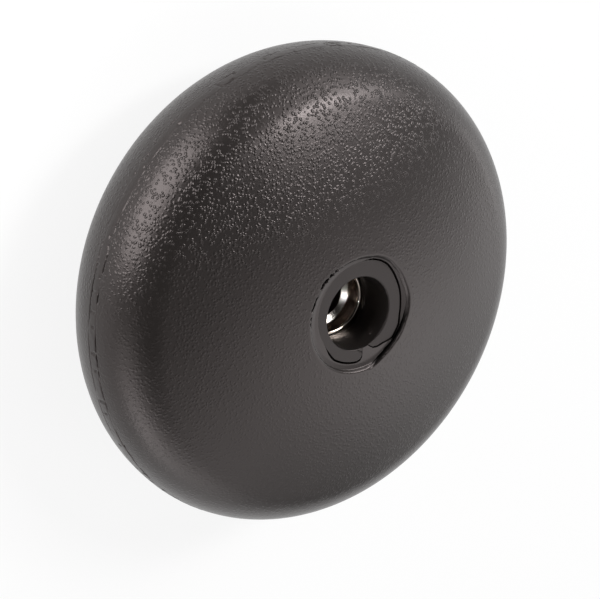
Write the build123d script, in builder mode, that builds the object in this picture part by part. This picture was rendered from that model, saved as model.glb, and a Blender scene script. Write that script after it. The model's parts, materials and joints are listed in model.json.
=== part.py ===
from build123d import *
import os
from math import asin, cos, degrees, radians, sin, sqrt, tan

# Grained disc knob with a moulded-in threaded bush.
# Millimetres, +Z out of the bore. The origin is the middle of the small flat where the
# gate was trimmed off the domed back, so the knob lies on it with the bore facing up.

# Outline of the disc
knob_radius = 32.5          # over the trimmed parting land
land_height = 0.07          # how far the land stands out from the rim
land_width = 1.3            # along Z, from the mid-plane towards the bore
land_root = 2.0             # how deep the land's section reaches into the rim
back_height = 14.0          # from the gate's flat up to the mid-plane
gate_trim = 0.08            # how much of the back dome the flat takes away
front_height = 13.5         # from the mid-plane up to where the front dome would close
front_rim_radius = 9.1
back_rim_radius = 11.7

# Seat round the bore: a shallow cone from the ring outwards, then a steep rounded wall
mouth_z = 26.5              # face of the hub ring, where the seat starts
seat_start_radius = 6.95
seat_foot_radius = 7.5
seat_foot_rise = 0.13
seat_wall_run = 0.22        # the wall leans out by this much
seat_wall_rise = 0.32       # for this much height
seat_edge_rounding = 0.4

# Hub: the hard sleeve that the grip is moulded round
ring_radius = 6.8
bore_radius = 4.9
bore_depth = 4.4            # from the ring face to the groove above the bush
groove_radius = 5.1
mouth_rounding = 0.2
neck_depth = 2.6            # from the ring face to the first collar
collar_radius = 9.6
collar_height = 2.4
collar_slope = 0.8
barrel_radius = 8.0
hub_bottom_z = 2.8
foot_height = 1.6           # plain stretch of the barrel under the second collar
foot_rounding = 1.0
rib_count = 8
rib_width = 1.6
rib_root = 0.4              # how far each rib's foot reaches into the barrel
notch_count = 4
notch_width = 3.0
notch_reach = 1.2           # how far each notch goes into the collars

# Tongue of the grip that runs over the ring to the bore: radius and angle of its corners
tongue_depth = 0.9
tongue_corners = ((4.6, 40), (6.0, 64), (7.4, 76), (7.4, 36), (6.1, 42))

# Threaded bush: M8, blind
bush_radius = 6.0
bush_top_z = 21.15
bush_bottom_z = 4.6
bush_edge = 0.5             # chamfer at both ends
waist_radius = 5.2
waist_height = 2.2
knurl_depth = 0.3
knurl_count = 24
knurl_overcut = 0.1         # how far each groove's section runs past the bush
counterbore_radius = 4.06   # clears the stud's thread
counterbore_rounding = 0.2
counterbore_bottom_z = 18.5
thread_minor_radius = 3.32
thread_bottom_z = 8.6
drill_point_angle = 118

os.makedirs("parts", exist_ok=True)


def dome_radius(half_height, rim_radius):
    """Radius of the dome that runs smoothly into the rounded rim."""
    rim_centre = grip_radius - rim_radius
    return (rim_centre**2 + half_height**2 - rim_radius**2) / (2 * (half_height - rim_radius))


def dome_half_angle(half_height, rim_radius):
    """Angle from the axis at which the dome hands over to the rim, in degrees."""
    to_rim_centre = grip_radius - rim_radius
    return degrees(asin(to_rim_centre / (dome_radius(half_height, rim_radius) - rim_radius)))


grip_radius = knob_radius - land_height
mid_z = back_height
front_dome = dome_radius(front_height, front_rim_radius)
back_dome = dome_radius(back_height + gate_trim, back_rim_radius)
front_angle = dome_half_angle(front_height, front_rim_radius)
back_angle = dome_half_angle(back_height + gate_trim, back_rim_radius)
gate_radius = sqrt(gate_trim * (2 * back_dome - gate_trim))
gate_angle = degrees(asin(gate_radius / back_dome))
top_z = mid_z + front_height


# The bush before its hole is made: a turned blank with two knurled bands and a waist
waist_low_z = (bush_top_z + bush_bottom_z - waist_height) / 2
waist_high_z = waist_low_z + waist_height

with BuildPart() as bush_blank:
    with BuildSketch(Plane.XZ):
        with BuildLine():
            Polyline(
                (0, bush_bottom_z),
                (bush_radius - bush_edge, bush_bottom_z),
                (bush_radius, bush_bottom_z + bush_edge),
                (bush_radius, waist_low_z),
                (waist_radius, waist_low_z + (bush_radius - waist_radius) / 2),
                (waist_radius, waist_high_z - (bush_radius - waist_radius) / 2),
                (bush_radius, waist_high_z),
                (bush_radius, bush_top_z - bush_edge),
                (bush_radius - bush_edge, bush_top_z),
                (0, bush_top_z),
                close=True,
            )
        make_face()
    revolve(axis=Axis.Z)
    with BuildSketch(Plane.XY.offset(bush_bottom_z)):
        with PolarLocations(bush_radius, knurl_count):
            Polygon(
                (-knurl_depth, 0),
                (knurl_overcut, -knurl_depth - knurl_overcut),
                (knurl_overcut, knurl_depth + knurl_overcut),
                align=None,
            )
    extrude(amount=bush_top_z - bush_bottom_z, mode=Mode.SUBTRACT)

drill_tip_z = thread_bottom_z - thread_minor_radius / tan(radians(drill_point_angle / 2))
bore_step_z = counterbore_bottom_z - (counterbore_radius - thread_minor_radius)
with BuildPart() as threaded_bush:
    add(bush_blank.part)
    with BuildSketch(Plane.XZ):
        with BuildLine():
            Polyline(
                (0, drill_tip_z),
                (thread_minor_radius, thread_bottom_z),
                (thread_minor_radius, bore_step_z),
                (counterbore_radius, counterbore_bottom_z),
                (counterbore_radius, bush_top_z),
                (0, bush_top_z),
                close=True,
            )
        make_face()
    revolve(axis=Axis.Z, mode=Mode.SUBTRACT)
    top_edges = threaded_bush.edges().filter_by(GeomType.CIRCLE).group_by(Axis.Z)[-1]
    fillet(top_edges.sort_by(SortBy.RADIUS)[0], counterbore_rounding)
threaded_bush.part.label = "threaded_bush"
export_step(threaded_bush.part, "parts/threaded_bush.step")


# The hub before its bore is made: a neck that ends in the ring, two notched collars
# that lock it in the grip, and ribs along the barrel between them
first_collar_z = mouth_z - neck_depth
second_collar_z = hub_bottom_z + foot_height + collar_slope

with BuildPart() as hub_blank:
    with BuildSketch(Plane.XZ):
        with BuildLine():
            Polyline(
                (0, hub_bottom_z),
                (barrel_radius, hub_bottom_z),
                (barrel_radius, second_collar_z - collar_slope),
                (collar_radius, second_collar_z),
                (collar_radius, second_collar_z + collar_height),
                (barrel_radius, second_collar_z + collar_height + collar_slope),
                (barrel_radius, first_collar_z - collar_height - 2 * collar_slope),
                (collar_radius, first_collar_z - collar_height - collar_slope),
                (collar_radius, first_collar_z - collar_slope),
                (ring_radius, first_collar_z),
                (ring_radius, mouth_z),
                (0, mouth_z),
                close=True,
            )
        make_face()
    revolve(axis=Axis.Z)
    fillet(hub_blank.edges().group_by(Axis.Z)[0], foot_rounding)
    with BuildSketch(Plane.XY.offset(second_collar_z)):
        with PolarLocations((barrel_radius - rib_root + collar_radius) / 2, rib_count):
            Rectangle(collar_radius - barrel_radius + rib_root, rib_width)
    extrude(amount=first_collar_z - collar_slope - second_collar_z)
    with BuildSketch(Plane.XY.offset(hub_bottom_z)):
        with PolarLocations(collar_radius, notch_count, start_angle=180 / rib_count):
            Rectangle(2 * notch_reach, notch_width)
    extrude(amount=first_collar_z - hub_bottom_z, mode=Mode.SUBTRACT)
    with BuildSketch(Plane.XY.offset(mouth_z)):
        with BuildLine():
            Polyline(
                *[(r * cos(radians(a)), r * sin(radians(a))) for r, a in tongue_corners],
                close=True,
            )
        make_face()
    extrude(amount=-tongue_depth, mode=Mode.SUBTRACT)

with BuildPart() as hub_sleeve:
    add(hub_blank.part)
    add(bush_blank.part, mode=Mode.SUBTRACT)
    with BuildSketch(Plane.XZ):
        with BuildLine():
            Polyline(
                (0, bush_top_z),
                (groove_radius, bush_top_z),
                (groove_radius, mouth_z - bore_depth),
                (bore_radius, mouth_z - bore_depth),
                (bore_radius, mouth_z),
                (0, mouth_z),
                close=True,
            )
        make_face()
    revolve(axis=Axis.Z, mode=Mode.SUBTRACT)
    mouth_edges = hub_sleeve.edges().filter_by(GeomType.CIRCLE).group_by(Axis.Z)[-1]
    fillet(mouth_edges.sort_by(SortBy.RADIUS)[0], mouth_rounding)
hub_sleeve.part.label = "hub_sleeve"
export_step(hub_sleeve.part, "parts/hub_sleeve.step")


# The grip: one moulding, domed on both sides, with the parting land on its rim,
# the dished seat round the hub and the tongue that fills the notch in the ring
with BuildPart() as grip_body:
    with BuildSketch(Plane.XZ):
        with BuildLine():
            CenterArc((0, top_z - front_dome), front_dome, 90 - front_angle, front_angle)
            CenterArc((grip_radius - front_rim_radius, mid_z), front_rim_radius, 0, 90 - front_angle)
            CenterArc(
                (grip_radius - back_rim_radius, mid_z), back_rim_radius, back_angle - 90, 90 - back_angle
            )
            CenterArc(
                (0, back_dome - gate_trim), back_dome, gate_angle - 90, back_angle - gate_angle
            )
            Polyline((gate_radius, 0), (0, 0), (0, top_z))
        make_face()
    revolve(axis=Axis.Z)
    with BuildSketch(Plane.XZ):
        with BuildLine():
            Polyline(
                (knob_radius - land_root, mid_z),
                (knob_radius, mid_z),
                (knob_radius, mid_z + land_width),
                (knob_radius - land_root, mid_z + land_width),
                close=True,
            )
        make_face()
    revolve(axis=Axis.Z)
    seat_foot_z = mouth_z + seat_foot_rise
    wall_top_radius = seat_foot_radius + (top_z - seat_foot_z) * seat_wall_run / seat_wall_rise
    with BuildSketch(Plane.XZ):
        with BuildLine():
            Polyline(
                (0, mouth_z),
                (seat_start_radius, mouth_z),
                (seat_foot_radius, seat_foot_z),
                (wall_top_radius, top_z),
                (0, top_z),
                close=True,
            )
        make_face()
    revolve(axis=Axis.Z, mode=Mode.SUBTRACT)
    fillet(grip_body.edges().filter_by(GeomType.CIRCLE).group_by(Axis.Z)[-1], seat_edge_rounding)
    add(hub_blank.part, mode=Mode.SUBTRACT)
    with BuildSketch(Plane.XY.offset(mouth_z)):
        Circle(bore_radius)
    extrude(amount=-tongue_depth, mode=Mode.SUBTRACT)
grip_body.part.label = "grip_body"
export_step(grip_body.part, "parts/grip_body.step")

for piece in (grip_body, hub_sleeve, threaded_bush):
    box = piece.part.bounding_box()
    print(f"{piece.part.label}: {piece.part.volume:.0f} mm3, z {box.min.Z:.2f} to {box.max.Z:.2f}")
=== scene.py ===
# %% [markdown]
# # A grained disc knob with a metal bush
#
# This lesson builds the looks of a moulded black knob: a pebble-shaped disc with a fine
# grain, a smooth ring round its bore, and a bright threaded bush deep inside. The frame
# already holds each piece at its real size and place, so every piece below is drawn
# straight into that frame and nothing is fitted afterwards.

# %% Open the frame
import json
from math import atan2, cos, degrees, exp, hypot, pi, radians, sin, sqrt, tan

import bmesh
import bpy
from mathutils import Matrix, Vector, noise


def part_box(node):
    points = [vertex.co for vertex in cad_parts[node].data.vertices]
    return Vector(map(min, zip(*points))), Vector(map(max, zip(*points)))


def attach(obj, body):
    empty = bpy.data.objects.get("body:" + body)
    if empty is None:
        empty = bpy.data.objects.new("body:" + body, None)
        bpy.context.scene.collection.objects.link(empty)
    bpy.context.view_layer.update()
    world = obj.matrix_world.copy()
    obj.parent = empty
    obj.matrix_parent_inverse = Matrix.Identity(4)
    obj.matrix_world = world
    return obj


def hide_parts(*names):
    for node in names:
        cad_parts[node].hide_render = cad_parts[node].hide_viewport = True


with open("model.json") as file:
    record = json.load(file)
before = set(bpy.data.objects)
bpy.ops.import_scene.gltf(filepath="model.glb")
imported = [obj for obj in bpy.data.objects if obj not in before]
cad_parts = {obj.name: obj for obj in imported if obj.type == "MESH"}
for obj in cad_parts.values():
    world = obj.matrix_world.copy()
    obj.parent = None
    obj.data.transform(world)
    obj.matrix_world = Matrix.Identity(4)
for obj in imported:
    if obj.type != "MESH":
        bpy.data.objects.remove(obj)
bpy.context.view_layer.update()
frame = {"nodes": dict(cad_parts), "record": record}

mounts = {mount["name"]: mount for mount in frame["record"]["mounts"]}
print("nodes in the frame:", sorted(frame["nodes"]))

# %% [markdown]
# ## Sizes
#
# The frame is in metres, with the knob lying on its domed back and the bore facing up.
# A profile is easier to read in millimetres, so sizes are kept in those, and the helper
# that turns a profile into a mesh changes them to metres. The outer sizes, the heights of
# the seams and the two mount radii come from the frame. The rest are sizes that no box
# can tell, such as the radius of a rounded rim.

# %% Sizes from the frame, and the radii that go with them
MM = 0.001

grip_low, grip_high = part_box("grip_body")
hub_low, hub_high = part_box("hub_sleeve")
bush_low, bush_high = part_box("threaded_bush")

land_radius = (grip_high.y - grip_low.y) / 2 / MM
land_stands_out = 0.06
land_width = 1.3
grip_radius = land_radius - land_stands_out
mid_z = 14.0
front_height = 13.5
front_rim_radius = 9.1
back_rim_radius = 11.7
gate_trim = 0.08

ring_z = hub_high.z / MM
hub_bottom_z = hub_low.z / MM
bush_top_z = bush_high.z / MM
bush_bottom_z = bush_low.z / MM
bush_radius = bush_high.x / MM
bore_radius = mounts["bore"]["dims"]["r_mm"]
thread_radius = mounts["thread"]["dims"]["r_mm"]
print("knob", round(2 * land_radius, 2), "mm across, ring face", round(ring_z, 2), "mm up")

# %% [markdown]
# ## Drawing a profile
#
# Every piece of this knob was moulded in a turned tool or was turned itself, so each one
# starts as half of its cross-section: a chain of points, radius against height. Rounded
# stretches are arcs, worked out from their radius, and small soft corners are a curve
# pulled towards the corner point. Drawing the chain by rule keeps the sizes in sight, which
# a list of finished points would hide.

# %% Stretches of a profile
def arc(centre, radius, start, end, steps):
    """Points on an arc of a profile, angles in degrees from the +R direction towards +Z."""
    angles = [radians(start + (end - start) * i / steps) for i in range(steps + 1)]
    return [(centre[0] + radius * cos(a), centre[1] + radius * sin(a)) for a in angles]


def straight(start, end, steps):
    """Points on a straight stretch, without the first."""
    return [
        (start[0] + (end[0] - start[0]) * i / steps, start[1] + (end[1] - start[1]) * i / steps)
        for i in range(1, steps + 1)
    ]


def soft_corner(start, corner, end, steps):
    """Points on a curve from start to end that bends towards the corner."""
    points = []
    for i in range(steps + 1):
        t = i / steps
        weights = ((1 - t) ** 2, 2 * t * (1 - t), t * t)
        points.append(tuple(sum(w * p[k] for w, p in zip(weights, (start, corner, end))) for k in (0, 1)))
    return points


print("a quarter of a 1 mm circle ends at", [round(v, 3) for v in arc((0, 0), 1, 0, 90, 4)[-1]])

# %% [markdown]
# ## Turning a profile
#
# A lathe modifier would leave the poles open, and a stack of cones would need its faces
# listed. The spin operator sweeps the chain round Z instead. It slows down badly with many
# steps, so it sweeps one sector first and then repeats that sector, and merging doubles
# closes the seams and the poles. A rule on radius, angle and height may then move every
# point, which is how a tongue, a rib or a nick gets onto a turned shape.

# %% From a profile to a closed mesh
sectors = 24
weld_distance = 0.0005 * MM


def turned(profile, steps, ring=False):
    """A closed bmesh, swept from a profile that ends on the axis, or that is a ring's own loop."""
    bm = bmesh.new()
    points = [bm.verts.new((r * MM, 0, z * MM)) for r, z in profile]
    edges = [bm.edges.new(pair) for pair in zip(points, points[1:])]
    if ring:
        edges.append(bm.edges.new((points[-1], points[0])))
    sector = 2 * pi / sectors
    bmesh.ops.spin(
        bm, geom=points + edges, cent=(0, 0, 0), axis=(0, 0, 1), angle=sector, steps=steps // sectors,
        use_merge=False,
    )
    bmesh.ops.spin(
        bm, geom=bm.verts[:] + bm.edges[:] + bm.faces[:], cent=(0, 0, 0), axis=(0, 0, 1),
        angle=2 * pi - sector, steps=sectors - 1, use_duplicate=True, use_merge=False,
    )
    bmesh.ops.remove_doubles(bm, verts=bm.verts, dist=weld_distance)
    bmesh.ops.recalc_face_normals(bm, faces=bm.faces)
    return bm


def reshaped(bm, rule):
    """Moves each vertex by a rule on its radius, its angle round Z in degrees and its height."""
    for vert in bm.verts:
        radius = hypot(vert.co.x, vert.co.y) / MM
        angle = degrees(atan2(vert.co.y, vert.co.x))
        new_radius, new_z = rule(radius, angle, vert.co.z / MM)
        stretch = new_radius / radius if radius > 0 else 1
        vert.co = Vector((vert.co.x * stretch, vert.co.y * stretch, new_z * MM))
    return bm


def finished(bm, name, material, smooth_angle=40):
    """Makes the object, shades it smooth with its hard edges kept, and ties it to the frame."""
    for edge in bm.edges:
        edge.smooth = len(edge.link_faces) == 2 and edge.calc_face_angle(0) < radians(smooth_angle)
    for face in bm.faces:
        face.smooth = True
    mesh = bpy.data.meshes.new(name)
    bm.to_mesh(mesh)
    bm.free()
    mesh.materials.append(material)
    piece = bpy.data.objects.new(name, mesh)
    bpy.context.scene.collection.objects.link(piece)
    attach(piece, "root")
    print(name, len(mesh.polygons), "faces")
    return piece


print("a turned piece is", sectors, "copies of one sector")

# %% [markdown]
# ## Writing shader maths as Python
#
# A material is a graph of nodes. Wiring dozens of Math nodes by hand hides the sum that
# they do, so one small class wraps a socket and lets plain Python arithmetic add the
# nodes. Anything that isn't a sum on numbers comes from one method, which takes the
# node's type, its settings, and what its sockets hold.

# %% A socket that does arithmetic
class Wire:
    """A value inside a material: sums on it add Math nodes."""

    def __init__(self, graph, socket):
        self.graph = graph
        self.socket = socket

    def maths(self, operation, *values):
        return self.graph.node("ShaderNodeMath", {"operation": operation}, dict(enumerate((self, *values))))

    def __add__(self, other):
        return self.maths("ADD", other)

    def __mul__(self, other):
        return self.maths("MULTIPLY", other)

    def __sub__(self, other):
        return self.maths("SUBTRACT", other)

    def __rsub__(self, other):
        return self.graph.node("ShaderNodeMath", {"operation": "SUBTRACT"}, {0: other, 1: self})

    __radd__ = __add__
    __rmul__ = __mul__

    def smooth(self, low, high):
        """0 below low, 1 above high, with a soft step between."""
        settings = {"interpolation_type": "SMOOTHSTEP"}
        sockets = {"Value": self, "From Min": low, "From Max": high}
        return self.graph.node("ShaderNodeMapRange", settings, sockets)


print("a wire can do:", [name for name in vars(Wire) if callable(vars(Wire)[name])])

# %% [markdown]
# The graph owns the nodes. Besides the method that adds one, it has a short name for each
# thing that the materials below ask for: a place on the object, soft random values,
# scattered dots, a mix of two colours, and the shader at the end.

# %% The graph that a wire belongs to
class Graph:
    """The nodes of one material or of the world."""

    def __init__(self, owner):
        owner.use_nodes = True
        self.tree = owner.node_tree
        self.tree.nodes.clear()

    def node(self, kind, settings=None, sockets=None, output=0):
        made = self.tree.nodes.new(kind)
        for key, value in (settings or {}).items():
            setattr(made, key, value)
        for key, value in (sockets or {}).items():
            if isinstance(value, Wire):
                self.tree.links.new(value.socket, made.inputs[key])
            else:
                made.inputs[key].default_value = value
        return Wire(self, made.outputs[output]) if len(made.outputs) else made

    def place(self):
        """Where a point is on the object, in metres."""
        return self.node("ShaderNodeTexCoord", output="Object")

    def axis(self, name):
        """One coordinate of that place."""
        return self.node("ShaderNodeSeparateXYZ", sockets={0: self.place()}, output=name)

    def from_axis(self):
        """How far a point is from the knob's axis, in metres."""
        flat = self.node("ShaderNodeVectorMath", {"operation": "MULTIPLY"}, {0: self.place(), 1: (1, 1, 0)})
        return self.node("ShaderNodeVectorMath", {"operation": "LENGTH"}, {0: flat}, output="Value")

    def grain(self, scale, detail=0.0):
        """Soft random values from 0 to 1, with this many changes to the metre."""
        sockets = {"Vector": self.place(), "Scale": scale, "Detail": detail}
        return self.node("ShaderNodeTexNoise", {"noise_dimensions": "3D"}, sockets, output="Fac")

    def dots(self, scale, bend_scale, bend):
        """How far the nearest of many scattered points is, in a space that noise has bent."""
        sockets = {"Vector": self.place(), "Scale": bend_scale, "Detail": 0.0}
        shift = self.node("ShaderNodeTexNoise", sockets=sockets, output="Color")
        middle = (0.5, 0.5, 0.5)
        shift = self.node("ShaderNodeVectorMath", {"operation": "SUBTRACT"}, {0: shift, 1: middle})
        shift = self.node("ShaderNodeVectorMath", {"operation": "SCALE"}, {0: shift, "Scale": bend})
        bent = self.node("ShaderNodeVectorMath", {"operation": "ADD"}, {0: self.place(), 1: shift})
        sockets = {"Vector": bent, "Scale": scale}
        return self.node("ShaderNodeTexVoronoi", sockets=sockets, output="Distance")

    def blend(self, factor, first, second):
        """Mixes two colours."""
        sockets = {0: factor, 6: first, 7: second}
        return self.node("ShaderNodeMix", {"data_type": "RGBA"}, sockets, output=2)

    def surface(self, sockets, painted_shade=None):
        """Ends the graph in the shader that suits plastic and metal alike, with painted black shade mixed in
        where asked.
        """
        shader = self.node("ShaderNodeBsdfPrincipled", sockets=sockets)
        # painted shade: a black, matte shader is mixed in where the mask is high, standing in for the shadow
        # deep in a cut
        if painted_shade:
            black = {"Base Color": (0.002, 0.002, 0.002, 1), "Roughness": 1.0, "Specular IOR Level": 0.0}
            painted_black = self.node("ShaderNodeBsdfPrincipled", sockets=black)
            shader = self.node("ShaderNodeMixShader", sockets={0: painted_shade, 1: shader, 2: painted_black})
        self.node("ShaderNodeOutputMaterial", sockets={"Surface": shader})


def material(name):
    """A new material and its graph."""
    made = bpy.data.materials.new(name)
    return made, Graph(made)


print("a graph can make:", [name for name in vars(Graph) if not name.startswith("_")])

# %% [markdown]
# ## Camera
#
# The knob lies on its back here, while the photograph shows it propped on its rim. So the
# camera does what a person would: it looks down on the lying knob, along the same line
# through it, and is rolled until the bore leans the way it does in the picture. A long
# lens from a third of a metre gives the picture's mild perspective.

# %% Place the camera
image_width = 600
view_elevation = radians(48.73)
view_roll = radians(117.54)
view_distance = 328.2 * MM
aim_right = 0.12 * MM
aim_up = -1.99 * MM
lens = 150
sensor_width = 36

level_right = Vector((1, 0, 0))
level_up = Vector((0, sin(view_elevation), cos(view_elevation)))
forward = Vector((0, cos(view_elevation), -sin(view_elevation)))
right = cos(view_roll) * level_right + sin(view_roll) * level_up
up = -sin(view_roll) * level_right + cos(view_roll) * level_up
knob_centre = Vector((0, 0, mid_z * MM))

camera = bpy.data.objects.new("camera", bpy.data.cameras.new("camera"))
bpy.context.scene.collection.objects.link(camera)
bpy.context.scene.camera = camera
camera.data.lens = lens
camera.data.clip_start = 0.01
camera_place = knob_centre - view_distance * forward - aim_right * right + aim_up * up
camera_turn = Matrix((right, up, -forward)).transposed().to_4x4()
camera.matrix_world = Matrix.Translation(camera_place) @ camera_turn
print("one pixel at the knob is", round(view_distance * sensor_width / lens / image_width / MM, 3), "mm")

# %% [markdown]
# ## Softboxes
#
# Black plastic has little colour of its own, so nearly everything one sees on it is
# reflected light. A long box high on the left makes the highlight over the shoulder, with
# a larger and weaker one beside it to soften its edge. A small box that stands on the
# floor makes a second highlight on the near rim. Lamps aren't seen by the camera, only
# what they do to the knob. An area lamp shines along its own -Z, so its turn is built from
# three directions: its long side, its short side, and away from the knob.

# %% Softboxes
def towards(azimuth, elevation):
    """A direction, from degrees round Z and degrees above the floor."""
    a, e = radians(azimuth), radians(elevation)
    return Vector((cos(e) * cos(a), cos(e) * sin(a), sin(e)))


def softbox(name, place, along, length, width, power):
    """An area lamp at a place, turned to the knob, with its long side along a direction."""
    away = (place - Vector((0, 0, min(place.z, knob_centre.z)))).normalized()
    across = away.cross(along).normalized()
    lamp = bpy.data.lights.new(name, "AREA")
    lamp.shape = "RECTANGLE"
    lamp.size = length
    lamp.size_y = width
    lamp.energy = power
    box = bpy.data.objects.new(name, lamp)
    bpy.context.scene.collection.objects.link(box)
    side = across.cross(away).normalized()
    box.matrix_world = Matrix.Translation(place) @ Matrix((side, across, away)).transposed().to_4x4()
    box.visible_camera = False


key_distance = 0.7
key_tilt = towards(176, 60) - towards(157, 21)
rim_place = Vector((0, 0, 0.03)) + 0.12 * towards(-94, 0)
softbox("key_softbox", knob_centre + key_distance * towards(172, 52), key_tilt, 0.24, 0.12, 2.3)
softbox("key_fill", knob_centre + key_distance * towards(162, 36), key_tilt, 0.34, 0.2, 1.1)
softbox("rim_softbox", rim_place, Vector((0, 0, 1)), 0.06, 0.11, 0.13)
print("lamps:", [lamp.name for lamp in bpy.data.lights])

# %% [markdown]
# ## A spot into the bore
#
# The softboxes can't reach the bottom of the bore, where the photograph's brightest glint
# is. A spot with a very narrow cone shines in past the mouth and lights only the step at
# the start of the thread. It comes from the side that the step mirrors towards the camera.

# %% The bore's spot
step_place = Vector((-1.2, 3.4, 18.7)) * MM
spot_side = towards(-39, 64)
spot_distance = 0.5
spot = bpy.data.objects.new("bore_spot", bpy.data.lights.new("bore_spot", "SPOT"))
bpy.context.scene.collection.objects.link(spot)
spot.data.energy = 12
spot.data.shadow_soft_size = 0.015
spot.data.spot_size = radians(0.8)
spot.data.spot_blend = 0.5
spot_turn = spot_side.to_track_quat("Z", "Y").to_matrix().to_4x4()
spot.matrix_world = Matrix.Translation(step_place + spot_distance * spot_side) @ spot_turn
spot.visible_camera = False
print("the spot's beam is", round(spot_distance * spot.data.spot_size / MM, 1), "mm wide at the step")

# %% [markdown]
# ## The room
#
# The room is dark round the camera and pale on the far side, which gives the face its wide
# grey glow. A picture of a real room would bring its own edges and colours, so the walls
# are a handful of soft round panels. Each is a direction and a level: it adds a glow that
# is full in its own direction and fades with the angle from it.

# %% The room's panels
panels = (
    ((0, 3), 3.4), ((-26, 10), 1.3), ((30, 18), 1.6), ((120, 3), 2.6), ((90, 24), 1.2), ((180, 24), 3.2),
    ((45, 45), 0.85), ((90, 45), 1.75), ((60, 68), 0.6),
)
panel_sharpness = 18

world = bpy.data.worlds.new("studio")
bpy.context.scene.world = world
sky = Graph(world)
direction = sky.node("ShaderNodeTexCoord", output="Generated")
glow = 0.0
for (azimuth, elevation), level in panels:
    sockets = {0: direction, 1: towards(azimuth, elevation)}
    facing = sky.node("ShaderNodeVectorMath", {"operation": "DOT_PRODUCT"}, sockets, output="Value")
    glow = level * ((facing - 1) * panel_sharpness).maths("EXPONENT") + glow
background = sky.node("ShaderNodeBackground", sockets={"Color": (1, 1, 1, 1), "Strength": glow})
sky.node("ShaderNodeOutputWorld", sockets={"Surface": background})
print("the room has", len(panels), "panels")

# %% [markdown]
# ## Floor
#
# The floor is plain pale paint. To the camera and to mirror-like reflections most of it is
# an even white, which makes the picture's white background. The rest stays matte paint, so
# the knob's shadow is still there.

# %% The pale floor
floor_radius = 3.0
white_share = 0.85

floor_paint, nodes = material("pale_floor")
matte = nodes.node("ShaderNodeBsdfDiffuse", sockets={"Color": (0.86, 0.86, 0.86, 1)})
white = nodes.node("ShaderNodeEmission", sockets={"Color": (1, 1, 1, 1), "Strength": 1.0})
seen = nodes.node("ShaderNodeLightPath", output="Is Camera Ray")
mirrored = nodes.node("ShaderNodeLightPath", output="Is Glossy Ray")
through = nodes.node("ShaderNodeLightPath", output="Is Transmission Ray")
share = white_share * (seen + mirrored + through)
lit = nodes.node("ShaderNodeMixShader", sockets={0: share, 1: matte, 2: white})
nodes.node("ShaderNodeOutputMaterial", sockets={"Surface": lit})

bm = bmesh.new()
bmesh.ops.create_circle(bm, cap_ends=True, segments=64, radius=floor_radius)
floor_mesh = bpy.data.meshes.new("floor")
bm.to_mesh(floor_mesh)
bm.free()
floor_mesh.materials.append(floor_paint)
floor = bpy.data.objects.new("floor", floor_mesh)
bpy.context.scene.collection.objects.link(floor)

bpy.context.scene.view_settings.view_transform = "Standard"
print("the floor is", 2 * floor_radius, "m across")

# %% [markdown]
# ## Grained plastic
#
# The mould of the grip was etched, which leaves rounded dots and short worms about half a
# millimetre wide, standing a few hundredths proud of a smooth ground. Real geometry for
# tens of thousands of them would swamp the mesh, so they are a bump. The distance to the
# nearest of many scattered points, cut off softly, gives round dots of one size; bending
# the space with noise first makes them uneven and lets neighbours run together, as etched
# dots do. The grain is crisp on one shoulder and worn softer elsewhere. It stops at the
# seat round the bore, and is rubbed down on the land where the mould's halves met.
# Where the mesh says that a point is deep in a cut, black is painted over the plastic as the shade in the cut.

# %% The grain's sizes
plastic_dark = (0.009, 0.0078, 0.0072, 1)
plastic_light = (0.014, 0.012, 0.0112, 1)
plastic_tint = (1.0, 0.88, 0.87, 1)
dots_per_metre = 2200
bends_per_metre = 1200
bend = 0.4 * MM
dot_edge = (0.15, 0.55)
fine_per_metre = 7000
fine_share = 0.12
patches_per_metre = 90
grain_height = 0.055 * MM
worn_grain = 0.3
crisp_side = (-0.6, -0.8)
crisp_between = (10 * MM, 25 * MM)
grain_starts = 8.05 * MM
grain_full = grain_starts + 0.5 * MM
land_low = mid_z * MM
land_high = (mid_z + land_width) * MM
land_softness = 0.1 * MM
land_rub = 0.8
back_fades_over = 3 * MM

print("the dots are", round(1 / dots_per_metre / MM, 2), "mm apart and", round(grain_height / MM, 3), "mm high")


# %% The grip's material
def grained_plastic():
    made, nodes = material("grained_black_plastic")
    etched = 1 - nodes.dots(dots_per_metre, bends_per_metre, bend).smooth(*dot_edge)
    fine = nodes.grain(fine_per_metre, detail=2.0)
    height_up = nodes.axis("Z")
    past_seat = nodes.from_axis().smooth(grain_starts, grain_full)
    below_seat = 1 - height_up.smooth(land_high, land_high + back_fades_over)
    above_low_edge = height_up.smooth(land_low - land_softness, land_low)
    above_high_edge = height_up.smooth(land_high, land_high + land_softness)
    on_land = above_low_edge - above_high_edge
    towards_crisp = nodes.axis("X") * crisp_side[0] + nodes.axis("Y") * crisp_side[1]
    crispness = worn_grain + (1 - worn_grain) * towards_crisp.smooth(*crisp_between)
    strength = past_seat.maths("MAXIMUM", below_seat) * (1 - land_rub * on_land) * crispness
    height = etched * strength + fine_share * fine
    bump = nodes.node("ShaderNodeBump", sockets={"Strength": 1.0, "Distance": grain_height, "Height": height})
    patches = nodes.grain(patches_per_metre, detail=2.0)
    # the crevice attribute is the mask of painted black shade in the seat's cuts and the torn edge's dents
    painted_shade = nodes.node("ShaderNodeAttribute", {"attribute_name": "crevice"}, output="Fac")
    nodes.surface({
        "Base Color": nodes.blend(patches, plastic_dark, plastic_light),
        "Roughness": 0.28 + 0.06 * patches,
        "Normal": bump,
        "Specular Tint": plastic_tint,
    }, painted_shade)
    return made


grained = grained_plastic()
print(grained.name, "has", len(grained.node_tree.nodes), "nodes")

# %% [markdown]
# ## Smooth plastic and steel
#
# The sleeve came out of a polished mould: the same black, with only a faint unevenness. The
# bush is one metal in three states. Its mouth and wall are plated and nearly a mirror, the
# step was turned and scatters more, and the thread is cut, dull and dark.

# %% The other materials
sleeve_fine_per_metre = 2600
sleeve_patches_per_metre = 300
sleeve_unevenness = 0.02 * MM


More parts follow.
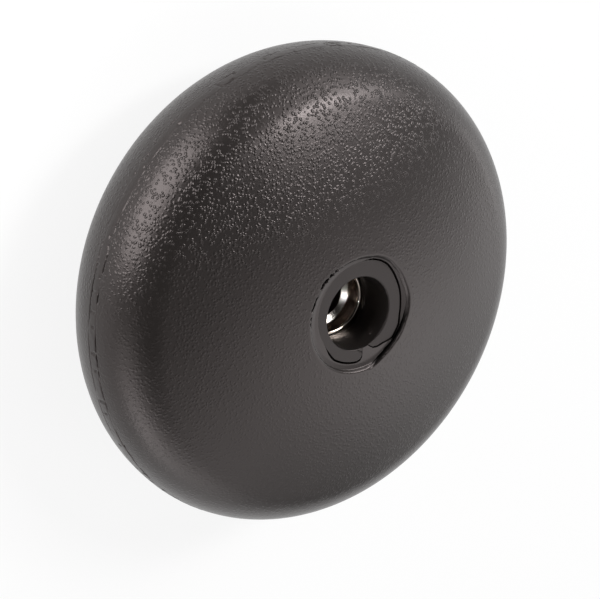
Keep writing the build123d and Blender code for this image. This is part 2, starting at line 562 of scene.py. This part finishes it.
def smooth_plastic():
    made, nodes = material("smooth_black_plastic")
    fine = nodes.grain(sleeve_fine_per_metre, detail=3.0)
    depths = {"Strength": 0.3, "Distance": sleeve_unevenness, "Height": fine}
    bump = nodes.node("ShaderNodeBump", sockets=depths)
    patches = nodes.grain(sleeve_patches_per_metre, detail=2.0)
    nodes.surface({
        "Base Color": nodes.blend(patches, plastic_dark, plastic_light),
        "Roughness": 0.34 + 0.12 * patches,
        "Normal": bump,
        "Specular IOR Level": 0.36,
        "Specular Tint": plastic_tint,
    })
    return made


def steel(name, colour, roughness):
    made, nodes = material(name)
    nodes.surface({"Base Color": colour, "Metallic": 1.0, "Roughness": roughness})
    return made


smooth = smooth_plastic()
plated = steel("plated_steel", (0.6, 0.52, 0.46, 1), 0.1)
turned_step = steel("turned_steel", (0.6, 0.56, 0.52, 1), 0.27)
cut = steel("cut_steel", (0.12, 0.1, 0.09, 1), 0.35)
print("and", [made.name for made in (smooth, plated, turned_step, cut)])

# %% [markdown]
# ## The seam round the ring
#
# The ring in the middle of the knob is the hard sleeve, and the grip was moulded round it.
# Where the two meet there is a seam: an open dark line on one side, closed on the other,
# and bent inwards where a tongue of the grip runs over the ring to the bore. Both pieces
# read the same few functions of the angle, so the gap between them is always the same.

# %% Where the seam runs, in millimetres against degrees
tongue_depth = 0.42
open_seam_gap = 0.26
closed_seam_gap = 0.006
open_seam = (-24, 212)
seam_points = (
    (-30, 6.1), (-19, 6.2), (-10, 6.42), (0, 6.66), (33, 6.68), (38, 6.5), (41, 6.1), (42.5, 5.4),
    (43, 4.85), (53, 4.85), (59, 5.75), (65, 6.12), (73, 6.4), (79, 6.8), (85, 7.17), (100, 7.18),
    (111, 6.88), (125, 6.82), (141, 6.9), (155, 6.98), (167, 7.18), (177, 7.38), (186, 7.42),
    (197, 7.35), (208, 7.14), (230, 6.9), (330, 6.1),
)
seat_start_radius = 6.95
seat_foot_radius = 7.5
seat_foot_rise = 0.13

print("the seam is given at", len(seam_points), "angles")


# %% Reading the seam at any angle
def rise(value, low, high):
    """0 below low, 1 above high, with a soft step between."""
    t = min(max((value - low) / (high - low), 0), 1)
    return t * t * (3 - 2 * t)


def window(angle, start, end, soft):
    """1 between two angles and 0 outside, softened at both ends."""
    along = (angle - start) % 360
    return rise(along, 0, soft) * (1 - rise(along, end - start - soft, end - start))


def between(points, angle):
    """Reads a chain of (angle, value) points at an angle."""
    for (a, value_a), (b, value_b) in zip(points, points[1:]):
        if a <= angle <= b:
            return value_a + (value_b - value_a) * (angle - a) / (b - a)
    return points[0][1] if angle < points[0][0] else points[-1][1]


def ring_edge(angle):
    """How far out the ring reaches at an angle."""
    return between(seam_points, (angle + 30) % 360 - 30)


def openness(angle):
    """1 where the seam stands open, 0 where it is closed."""
    return window(angle, *open_seam, 16)


def gap(angle):
    """How wide the seam is."""
    return closed_seam_gap + open_seam_gap * openness(angle)


def seat_height(radius):
    """Height of the seat's floor: flat over the ring, then a shallow cone up to the wall."""
    along = (radius - seat_start_radius) / (seat_foot_radius - seat_start_radius)
    return ring_z + seat_foot_rise * max(0, along)


print("seam at 0, 48 and 120 degrees:", [round(ring_edge(a), 2) for a in (0, 48, 120)])

# %% [markdown]
# ## The grip's domes
#
# One moulding: two shallow domes that run smoothly into rounded rims, a seat round the
# hub, and inside it the hollow that the hub fills. A dome that meets its rim without a
# crease shares a tangent with it, and that fixes the dome's radius once the height and the
# rim's radius are known.

# %% Domes and rims
def dome(half_height, rim_radius):
    """Radius of the dome, and the angle from the axis at which it meets the rim, in degrees."""
    to_rim = grip_radius - rim_radius
    radius = (to_rim**2 + half_height**2 - rim_radius**2) / (2 * (half_height - rim_radius))
    return radius, degrees(atan2(to_rim, radius - half_height))


front_dome, front_angle = dome(front_height, front_rim_radius)
back_dome, back_angle = dome(mid_z + gate_trim, back_rim_radius)
gate_radius = sqrt(gate_trim * (2 * back_dome - gate_trim))
gate_angle = degrees(atan2(gate_radius, back_dome - gate_trim))


def dome_height(radius):
    """How high the front dome is at a radius."""
    return mid_z + front_height - front_dome + sqrt(front_dome**2 - radius**2)


def rim_reach(z):
    """How far out the rounded rim is at a height near the mid-plane."""
    rim = front_rim_radius if z > mid_z else back_rim_radius
    return grip_radius - rim + sqrt(rim**2 - (z - mid_z) ** 2)


print("domes of", round(front_dome, 1), "and", round(back_dome, 1), "mm, gate flat", round(gate_radius, 2))

# %% [markdown]
# ## The seat's wall and the sleeve's hollow
#
# The seat's wall leans outwards until it meets the dome. Both ends depend on each other, so
# its top is found by a few rounds of trying. The hollow follows the sleeve's two collars
# with a little play, and the sleeve itself will be drawn from the same function.

# %% The wall's top and the sleeve's outline
seat_wall_run = 0.22
seat_wall_rise = 0.32
seat_start = (seat_start_radius, ring_z)
seat_foot = (seat_foot_radius, ring_z + seat_foot_rise)
wall_top = seat_foot_radius
for _ in range(6):
    wall_top = seat_foot_radius + (dome_height(wall_top) - seat_foot[1]) * seat_wall_run / seat_wall_rise

barrel_radius = 8.0
collar_radius = 9.6
collar_slope = 0.8
collars = ((23.1, 20.7), (7.6, 5.2))


def sleeve_outline(neck_radius, play):
    """The neck and both collars from top to bottom, pushed outwards by some play."""
    points = []
    above = neck_radius
    for top, bottom in collars:
        points += [
            (above, top + collar_slope + play), (collar_radius + play, top + play),
            (collar_radius + play, bottom - play), (barrel_radius + play, bottom - collar_slope - play),
        ]
        above = barrel_radius + play
    return points


print("the wall meets the dome at radius", round(wall_top, 2), "and height", round(dome_height(wall_top), 2))

# %% [markdown]
# ## The grip's section
#
# The whole section is one chain of points from the middle of the back, over the rim, into
# the seat and down to the axis. The rim leaves a shallow channel for the parting land,
# which needs a finer mesh. Rows lie close together only near the seat, where the shape has
# detail.

# %% From the back, round the rim, to the front dome
channel_low = mid_z - 0.45
channel_high = mid_z + land_width + 0.45
channel_depth = 0.3
channel_floor = grip_radius - channel_depth

grip_section = [(0, 0), (gate_radius / 2, 0)]
grip_section += arc((0, back_dome - gate_trim), back_dome, gate_angle - 90, back_angle - 90, 24)
back_rim_centre = (grip_radius - back_rim_radius, mid_z)
channel_low_angle = -degrees(atan2(mid_z - channel_low, back_rim_radius))
grip_section += arc(back_rim_centre, back_rim_radius, back_angle - 90, channel_low_angle, 20)[1:]
grip_section += [(channel_floor, channel_low + 0.02), (channel_floor, channel_high - 0.02)]
front_rim_centre = (grip_radius - front_rim_radius, mid_z)
channel_high_angle = degrees(atan2(channel_high - mid_z, front_rim_radius))
grip_section += arc(front_rim_centre, front_rim_radius, channel_high_angle, 90 - front_angle, 20)
print("rows so far:", len(grip_section))

# %% Over the seat's edge and down into the hollow
edge_reach = 0.26
fine_stretch = 0.8
floor_end = 7.42
lip_radius = 6.87
play = 0.02

edge_outside = (wall_top + edge_reach, dome_height(wall_top + edge_reach))
dome_centre = (0, mid_z + front_height - front_dome)
edge_angle = degrees(atan2(edge_outside[1] - dome_centre[1], edge_outside[0]))
near_edge_angle = edge_angle - degrees(fine_stretch / front_dome)
grip_section += arc(dome_centre, front_dome, 90 - front_angle, near_edge_angle, 22)[1:]
grip_section += arc(dome_centre, front_dome, near_edge_angle, edge_angle, 8)[1:]
edge_inside = (wall_top - edge_reach * 0.57, dome_height(wall_top) - edge_reach * 0.82)
grip_section += soft_corner(edge_outside, (wall_top, dome_height(wall_top)), edge_inside, 8)[1:]
grip_section += straight(grip_section[-1], (seat_foot[0] + 0.04, seat_foot[1] + 0.05), 6)
grip_section += soft_corner(grip_section[-1], seat_foot, (floor_end, ring_z + 0.11), 4)[1:]
grip_section += straight(grip_section[-1], seat_start, 10)
grip_section += straight(grip_section[-1], (lip_radius, ring_z), 8)
tongue_rows = (0.02, 0.2, tongue_depth - 0.06, tongue_depth)
grip_section += [(lip_radius, ring_z - depth) for depth in tongue_rows]
hollow_floor = hub_bottom_z - play
for point in sleeve_outline(lip_radius, play) + [(barrel_radius + play, hollow_floor), (0, hollow_floor)]:
    grip_section += straight(grip_section[-1], point, 2)
print("the grip's section has", len(grip_section), "rows")

# %% [markdown]
# ## Cuts and crumbs at the seat
#
# A turned shape is too perfect for a moulding. The foot of the seat's wall is cut deeper
# round one side, where the mould shut off, and the wall's upper edge is ragged where
# flash was trimmed: crumbs stand up beside a broken row of dents. One function says how
# deep a point is in either cut. The mesh is pushed down by it, and also keeps it as an
# attribute, from which the material knows where to paint black shade into the cuts.

# %% Where the cuts run, in millimetres against degrees
deep_foot = (
    (40, 8.0), (50, 7.83), (60, 7.56), (72, 7.4), (82, 7.42), (94, 7.55), (103, 7.58), (124, 7.72),
)
cut_foot = (42, 122)
foot_cut_half_width = 0.12
foot_cut_reach = 0.24
torn_edge = (-124, -52)
torn_edge_radius = 7.9


def ragged(x, y, z, size):
    """Smooth random values of about -1 to 1 that change over a given size in millimetres."""
    return noise.noise(Vector((x, y, z)) / size) * 1.6


def crevice(radius, angle):
    """How deep a point lies in the cut line at the wall's foot, and in the torn edge, from 0 to 1."""
    x, y = radius * cos(radians(angle)), radius * sin(radians(angle))
    from_foot = abs(radius - between(deep_foot, angle) - 0.03 * ragged(x, y, 75, 0.7))
    foot = (1 - rise(from_foot, foot_cut_half_width, foot_cut_reach)) * window(angle, *cut_foot, 22)
    torn = rise(ragged(x, y, 70, 0.7), -0.5, 0.1) * window(angle, *torn_edge, 16)
    from_tear = abs(radius - torn_edge_radius - 0.12 * ragged(x, y, 80, 0.6))
    return foot, torn * (1 - rise(from_tear, 0.06 + 0.07 * torn, 0.14 + 0.1 * torn))


print("cut at 90 degrees, from 7.3 mm out:", [round(crevice(7.3 + 0.1 * i, 90)[0], 2) for i in range(6)])

# %% [markdown]
# ## Shaping the grip
#
# The floor of the seat is stretched inwards to the seam, which makes the tongue, and its
# outer end wanders a little, because the wall isn't quite round. Then the cuts go down and
# the crumbs stand up. No point may rise above the real knob.

# %% The grip
seat_shift = (
    (-180, 0), (36, 0), (50, 0.06), (64, -0.12), (80, -0.16), (100, -0.1), (118, 0.08), (130, 0.1),
    (146, -0.06), (165, 0), (180, 0),
)
crumb_places = (
    (-139, 7.8), (-124, 7.62), (-118, 7.66), (-112, 7.6), (-103, 7.64), (-94, 7.6), (-87, 7.5), (-78, 7.55),
)
foot_cut_depth = 0.5
tear_depth = 0.45
crumb_height = 0.2
crumb_length = 0.16
crumb_width = 0.09
highest = grip_high.z / MM - 0.005
grip_steps = 480


def grip_rule(radius, angle, z):
    """Stretches the seat's floor to the seam, then adds the cuts and the crumbs."""
    edge = max(ring_edge(angle) + gap(angle) / 2, bore_radius + 0.02)
    end = max(floor_end + between(seat_shift, angle), edge + 0.06)
    if lip_radius - 0.001 <= radius <= floor_end + 0.001 and z > ring_z - tongue_depth + 0.03:
        below = min(z - seat_height(radius), 0)
        radius = end + (floor_end - radius) / (floor_end - lip_radius) * (edge - end)
        z = seat_height(radius) + below
        if below < -0.001 or radius < edge + 0.001:
            return radius, z
    elif 7.0 < radius < 9.6 and z > ring_z:
        radius += (end - floor_end) * (1 - rise(radius, 8.2, 9.5))
    else:
        return radius, z
    foot, tear = crevice(radius, angle)
    z -= foot_cut_depth * foot + tear_depth * tear
    for crumb_angle, crumb_radius in crumb_places:
        along = radians((angle - crumb_angle + 180) % 360 - 180) * radius
        z += crumb_height * exp(-((along / crumb_length) ** 2) - ((radius - crumb_radius) / crumb_width) ** 2)
    return radius, min(z, highest)


grip = finished(
    reshaped(turned(grip_section, grip_steps), grip_rule), "grip_moulding", grained
)
# the depth in a cut is kept on the mesh as the mask for the painted black shade in the material
crevice_shade = grip.data.attributes.new("crevice", "FLOAT", "POINT")
for vert, value in zip(grip.data.vertices, crevice_shade.data):
    radius = hypot(vert.co.x, vert.co.y) / MM
    if 7.0 < radius < 9.0 and vert.co.z / MM > ring_z - 0.6:
        value.value = max(crevice(radius, degrees(atan2(vert.co.y, vert.co.x))))
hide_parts("grip_body")
print("points in a cut:", sum(value.value > 0.5 for value in crevice_shade.data))

# %% [markdown]
# ## The parting land
#
# The two halves of the mould met at the knob's widest line. The flash there was trimmed,
# which leaves a flat band between two ragged lines, with nicks where the blade dug in.
# It is a ring of its own that fills the channel in the rim, with three times as many
# steps round the knob as the grip, and a row every few hundredths of a millimetre.

# %% The land
land_rows = 40
land_steps = 1440
land_section = [
    (rim_reach(z) + 0.002, z)
    for z in [channel_low + (channel_high - channel_low) * i / land_rows for i in range(land_rows + 1)]
]
land_section += [(channel_floor - 0.05, channel_high), (channel_floor - 0.05, channel_low)]
rough_land = (-82, -8)
nick_depth = 0.12


def land_rule(radius, angle, z):
    """Lifts the band between two ragged edges, with grooves along them and nicks across."""
    if radius < channel_floor:
        return radius, z
    x, y = radius * cos(radians(angle)), radius * sin(radians(angle))
    low = mid_z + 0.05 * ragged(x, y, 0, 0.9) + 0.03 * ragged(x, y, 9, 0.3)
    high = mid_z + land_width + 0.09 * ragged(x, y, 20, 1.3) + 0.04 * ragged(x, y, 30, 0.35)
    proud = rise(z, low - 0.03, low + 0.05) * (1 - rise(z, high - 0.05, high + 0.03))
    lift = 0.025 + 0.012 * ragged(x, y, z, 0.6)
    rough = window(angle, *rough_land, 16)
    open_low = rise(ragged(x, y, 40, 3.0), 0.1 - 0.7 * rough, 0.6 - 0.6 * rough)
    open_high = rise(ragged(x, y, 50, 2.5), 0.1 - 0.7 * rough, 0.6 - 0.6 * rough)
    groove = open_low * exp(-(((z - low + 0.05) / 0.07) ** 2))
    groove += open_high * exp(-(((z - high - 0.06) / 0.08) ** 2))
    groove_depth = 0.08 + 0.1 * rough
    nicks = rise(ragged(x * 1.2, y * 1.2, z * 0.7 + 60, 0.8), 0.55, 0.8)
    change = proud * lift - groove_depth * groove - nick_depth * nicks * (0.35 + 0.65 * proud)
    ends = rise(z, channel_low, channel_low + 0.15) * (1 - rise(z, channel_high - 0.15, channel_high))
    return min(radius + ends * change, land_radius - 0.02), z


land_ring = turned(land_section, land_steps, ring=True)
finished(reshaped(land_ring, land_rule), "parting_land", grained)

# %% [markdown]
# ## The hub sleeve
#
# The sleeve was moulded first, in a harder plastic. What shows is its ring and its bore,
# which ends in a narrow groove above the bush. Hidden in the grip are two collars with
# notches and the ribs between them, which stop it from turning or pulling out. They are
# made by the same kind of rule: where a rib stands, the barrel is as wide as the collars,
# and where a notch is cut, the collars are cut back to a flat. Beside the tongue, a fine
# dent runs from the bore out over the ring.

# %% The sleeve's section
ring_radius = 6.8
ring_edge_rounding = 0.05
groove_radius = 5.1
groove_top_z = ring_z - 4.4
mouth_rounding = 0.2
foot_rounding = 1.0

hub_section = [(0, bush_bottom_z - play), (bush_radius + play, bush_bottom_z - play)]
hub_section += [(bush_radius + play, bush_top_z + 0.01), (groove_radius, bush_top_z + 0.01)]
hub_section += straight(hub_section[-1], (groove_radius, groove_top_z), 3)
hub_section += [(bore_radius, groove_top_z)]
hub_section += straight(hub_section[-1], (bore_radius, ring_z - mouth_rounding), 16)
mouth_centre = (bore_radius + mouth_rounding, ring_z - mouth_rounding)
hub_section += arc(mouth_centre, mouth_rounding, 180, 90, 6)[1:]
hub_section += straight(hub_section[-1], (ring_radius - ring_edge_rounding, ring_z), 26)
ring_side = (ring_radius, ring_z - ring_edge_rounding)
hub_section += soft_corner(hub_section[-1], (ring_radius, ring_z), ring_side, 3)[1:]
tongue_rows = (0.2, tongue_depth, tongue_depth + 0.05)
hub_section += [(ring_radius, ring_z - depth) for depth in tongue_rows]
for point in sleeve_outline(ring_radius, 0) + [(barrel_radius, hub_bottom_z + foot_rounding)]:
    hub_section += straight(hub_section[-1], point, 3)
foot_centre = (barrel_radius - foot_rounding, hub_bottom_z + foot_rounding)
hub_section += arc(foot_centre, foot_rounding, 0, -90, 6)[1:]
hub_section += [(0, hub_bottom_z)]
print("the sleeve's section has", len(hub_section), "rows")

# %% The sleeve
hub_steps = 720
rib_half_width = 0.8
rib_pitch = 45
notch_half_width = 1.5
notch_pitch = 90
notch_floor = 8.4
dent_start = (33, 4.95)
dent_end = (42, 5.6)
dent_depth = 0.12
dent_half_width = 0.07


def hub_rule(radius, angle, z):
    """Bends the ring's edge to the seam, dents the ring, and adds the ribs and notches."""
    if z > ring_z - tongue_depth - 0.01 and radius >= bore_radius:
        edge = max(ring_edge(angle) - gap(angle) / 2, bore_radius + 0.01)
        share = (radius - bore_radius) / (ring_radius - bore_radius)
        new_radius = bore_radius + share * (edge - bore_radius)
        reach = ring_edge_rounding + 0.001
        on_rounding = radius > ring_radius - reach and z > ring_z - reach
        rounded = ring_z - z if on_rounding else 0
        new_z = z + rounded * (1 - openness(angle)) + seat_height(new_radius) - ring_z
        if dent_start[0] - 3 < angle < dent_end[0] and z > ring_z - 0.01:
            along = (angle - dent_start[0]) / (dent_end[0] - dent_start[0])
            line = dent_start[1] + (dent_end[1] - dent_start[1]) * along
            new_z -= dent_depth * exp(-(((new_radius - line) / dent_half_width) ** 2))
        return new_radius, new_z
    if radius > barrel_radius - 0.01:
        from_rib = abs((angle + rib_pitch / 2) % rib_pitch - rib_pitch / 2)
        if collars[1][0] < z < collars[0][1] and radians(from_rib) * collar_radius < rib_half_width:
            radius = collar_radius
        from_notch = abs((angle - rib_pitch / 2 + notch_pitch / 2) % notch_pitch - notch_pitch / 2)
        if radians(from_notch) * collar_radius < notch_half_width:
            radius = min(radius, notch_floor / cos(radians(from_notch)))
    return radius, z


hub = finished(reshaped(turned(hub_section, hub_steps), hub_rule), "hub_moulding", smooth)
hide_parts("hub_sleeve")

# %% [markdown]
# ## The threaded bush
#
# A turned, plated bush: a flat top with a rounded mouth, a polished lead-in wall, and a
# step with the slope of a drill's 118 degree point. Below the step the hole is cut to the
# thread's outer radius, so that the ridge can stand in it. The outside is hidden: two
# knurled bands with a waist between them. The knurl is V grooves, made by a rule on the
# angle. Each face is given its steel by where it lies.

# %% The bush's section
counterbore_radius = 4.06
counterbore_bottom_z = 18.5
counterbore_rounding = 0.4
thread_wall = 3.98
drill_half_point = radians(59)
thread_start_z = counterbore_bottom_z - (counterbore_radius - thread_radius)
step_top_z = counterbore_bottom_z + 0.4
step_low_z = step_top_z - (counterbore_radius - thread_radius) / tan(drill_half_point)
thread_end_z = thread_start_z - mounts["thread"]["dims"]["length_mm"]
waist_radius = 5.2
waist_mid_z = (bush_top_z + bush_bottom_z) / 2
waist_half = 1.1
waist_slope = 0.4
bush_edge = 0.5

bush_section = [(0, bush_bottom_z), (bush_radius - bush_edge, bush_bottom_z)]
bush_section += [(bush_radius, bush_bottom_z + bush_edge), (bush_radius, waist_mid_z - waist_half)]
bush_section += [(waist_radius, waist_mid_z - waist_half + waist_slope)]
bush_section += [(waist_radius, waist_mid_z + waist_half - waist_slope)]
bush_section += [(bush_radius, waist_mid_z + waist_half), (bush_radius, bush_top_z - bush_edge)]
bush_section += [(bush_radius - bush_edge, bush_top_z)]
bush_section += straight(bush_section[-1], (counterbore_radius + counterbore_rounding, bush_top_z), 8)
lip_centre = (counterbore_radius + counterbore_rounding, bush_top_z - counterbore_rounding)
bush_section += arc(lip_centre, counterbore_rounding, 90, 180, 8)[1:]
bush_section += straight(bush_section[-1], (counterbore_radius, step_top_z), 8)
bush_section += straight(bush_section[-1], (thread_radius, step_low_z), 6)
bush_section += [(thread_radius, step_low_z - 0.12), (thread_wall, step_low_z - 0.5)]
bush_section += straight(bush_section[-1], (thread_wall, thread_end_z), 8)
bush_section += [(thread_radius, thread_end_z), (0, thread_end_z - thread_radius / tan(drill_half_point))]
print("the step is", round(step_top_z - step_low_z, 2), "mm high, with", len(bush_section), "rows in all")

# %% The bush
bush_steps = 720
knurl_count = 24
knurl_depth = 0.3


def bush_rule(radius, angle, z):
    """Cuts the knurl into the outside."""
    if radius > bush_radius - bush_edge - 0.01:
        pitch = 360 / knurl_count
        from_groove = abs((angle + pitch / 2) % pitch - pitch / 2)
        depth = max(0, knurl_depth - radians(from_groove) * bush_radius)
        radius = min(radius, bush_radius - depth) if depth > 0 else radius
    return radius, z


bush = finished(reshaped(turned(bush_section, bush_steps), bush_rule), "bush_turning", plated)
bush.data.materials.append(turned_step)
bush.data.materials.append(cut)
for face in bush.data.polygons:
    middle = face.center / MM
    if hypot(middle.x, middle.y) < counterbore_radius and middle.z < step_top_z:
        face.material_index = 1 if middle.z > step_low_z else 2
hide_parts("threaded_bush")

# %% [markdown]
# ## The thread
#
# The thread is a ridge on the hole's wall: a small trapezium, spun round the axis while it
# drops, which the spin operator does when it is given a step to move by.

# %% The thread's ridge
thread_pitch = 1.25
ridge_root = thread_wall + 0.03
ridge_base = 0.55
ridge_crest = 0.12
turn_steps = 96
run_in = 1.2
run_out = 0.8


def thread_ridge():
    """An M8 thread's ridge: a trapezium on the wall, swept down the hole."""
    start_z = thread_start_z - run_in
    turns = (start_z - thread_end_z - run_out) / thread_pitch
    steps = int(turns * turn_steps)
    bm = bmesh.new()
    corners = [
        (ridge_root, start_z + ridge_base), (thread_radius, start_z + ridge_crest / 2),
        (thread_radius, start_z - ridge_crest / 2), (ridge_root, start_z - ridge_base),
    ]
    points = [bm.verts.new((r * MM, 0, z * MM)) for r, z in corners]
    face = bm.faces.new(points)
    drop = Vector((0, 0, -turns * thread_pitch * MM / steps))
    bmesh.ops.spin(
        bm, geom=[face, *points, *face.edges], cent=(0, 0, 0), axis=(0, 0, 1), dvec=drop,
        angle=2 * pi * turns, steps=steps, use_merge=False,
    )
    bmesh.ops.recalc_face_normals(bm, faces=bm.faces)
    return bm


finished(thread_ridge(), "thread_ridge", cut)

# %% [markdown]
# ## Finish
#
# The looks must not outgrow the real part.
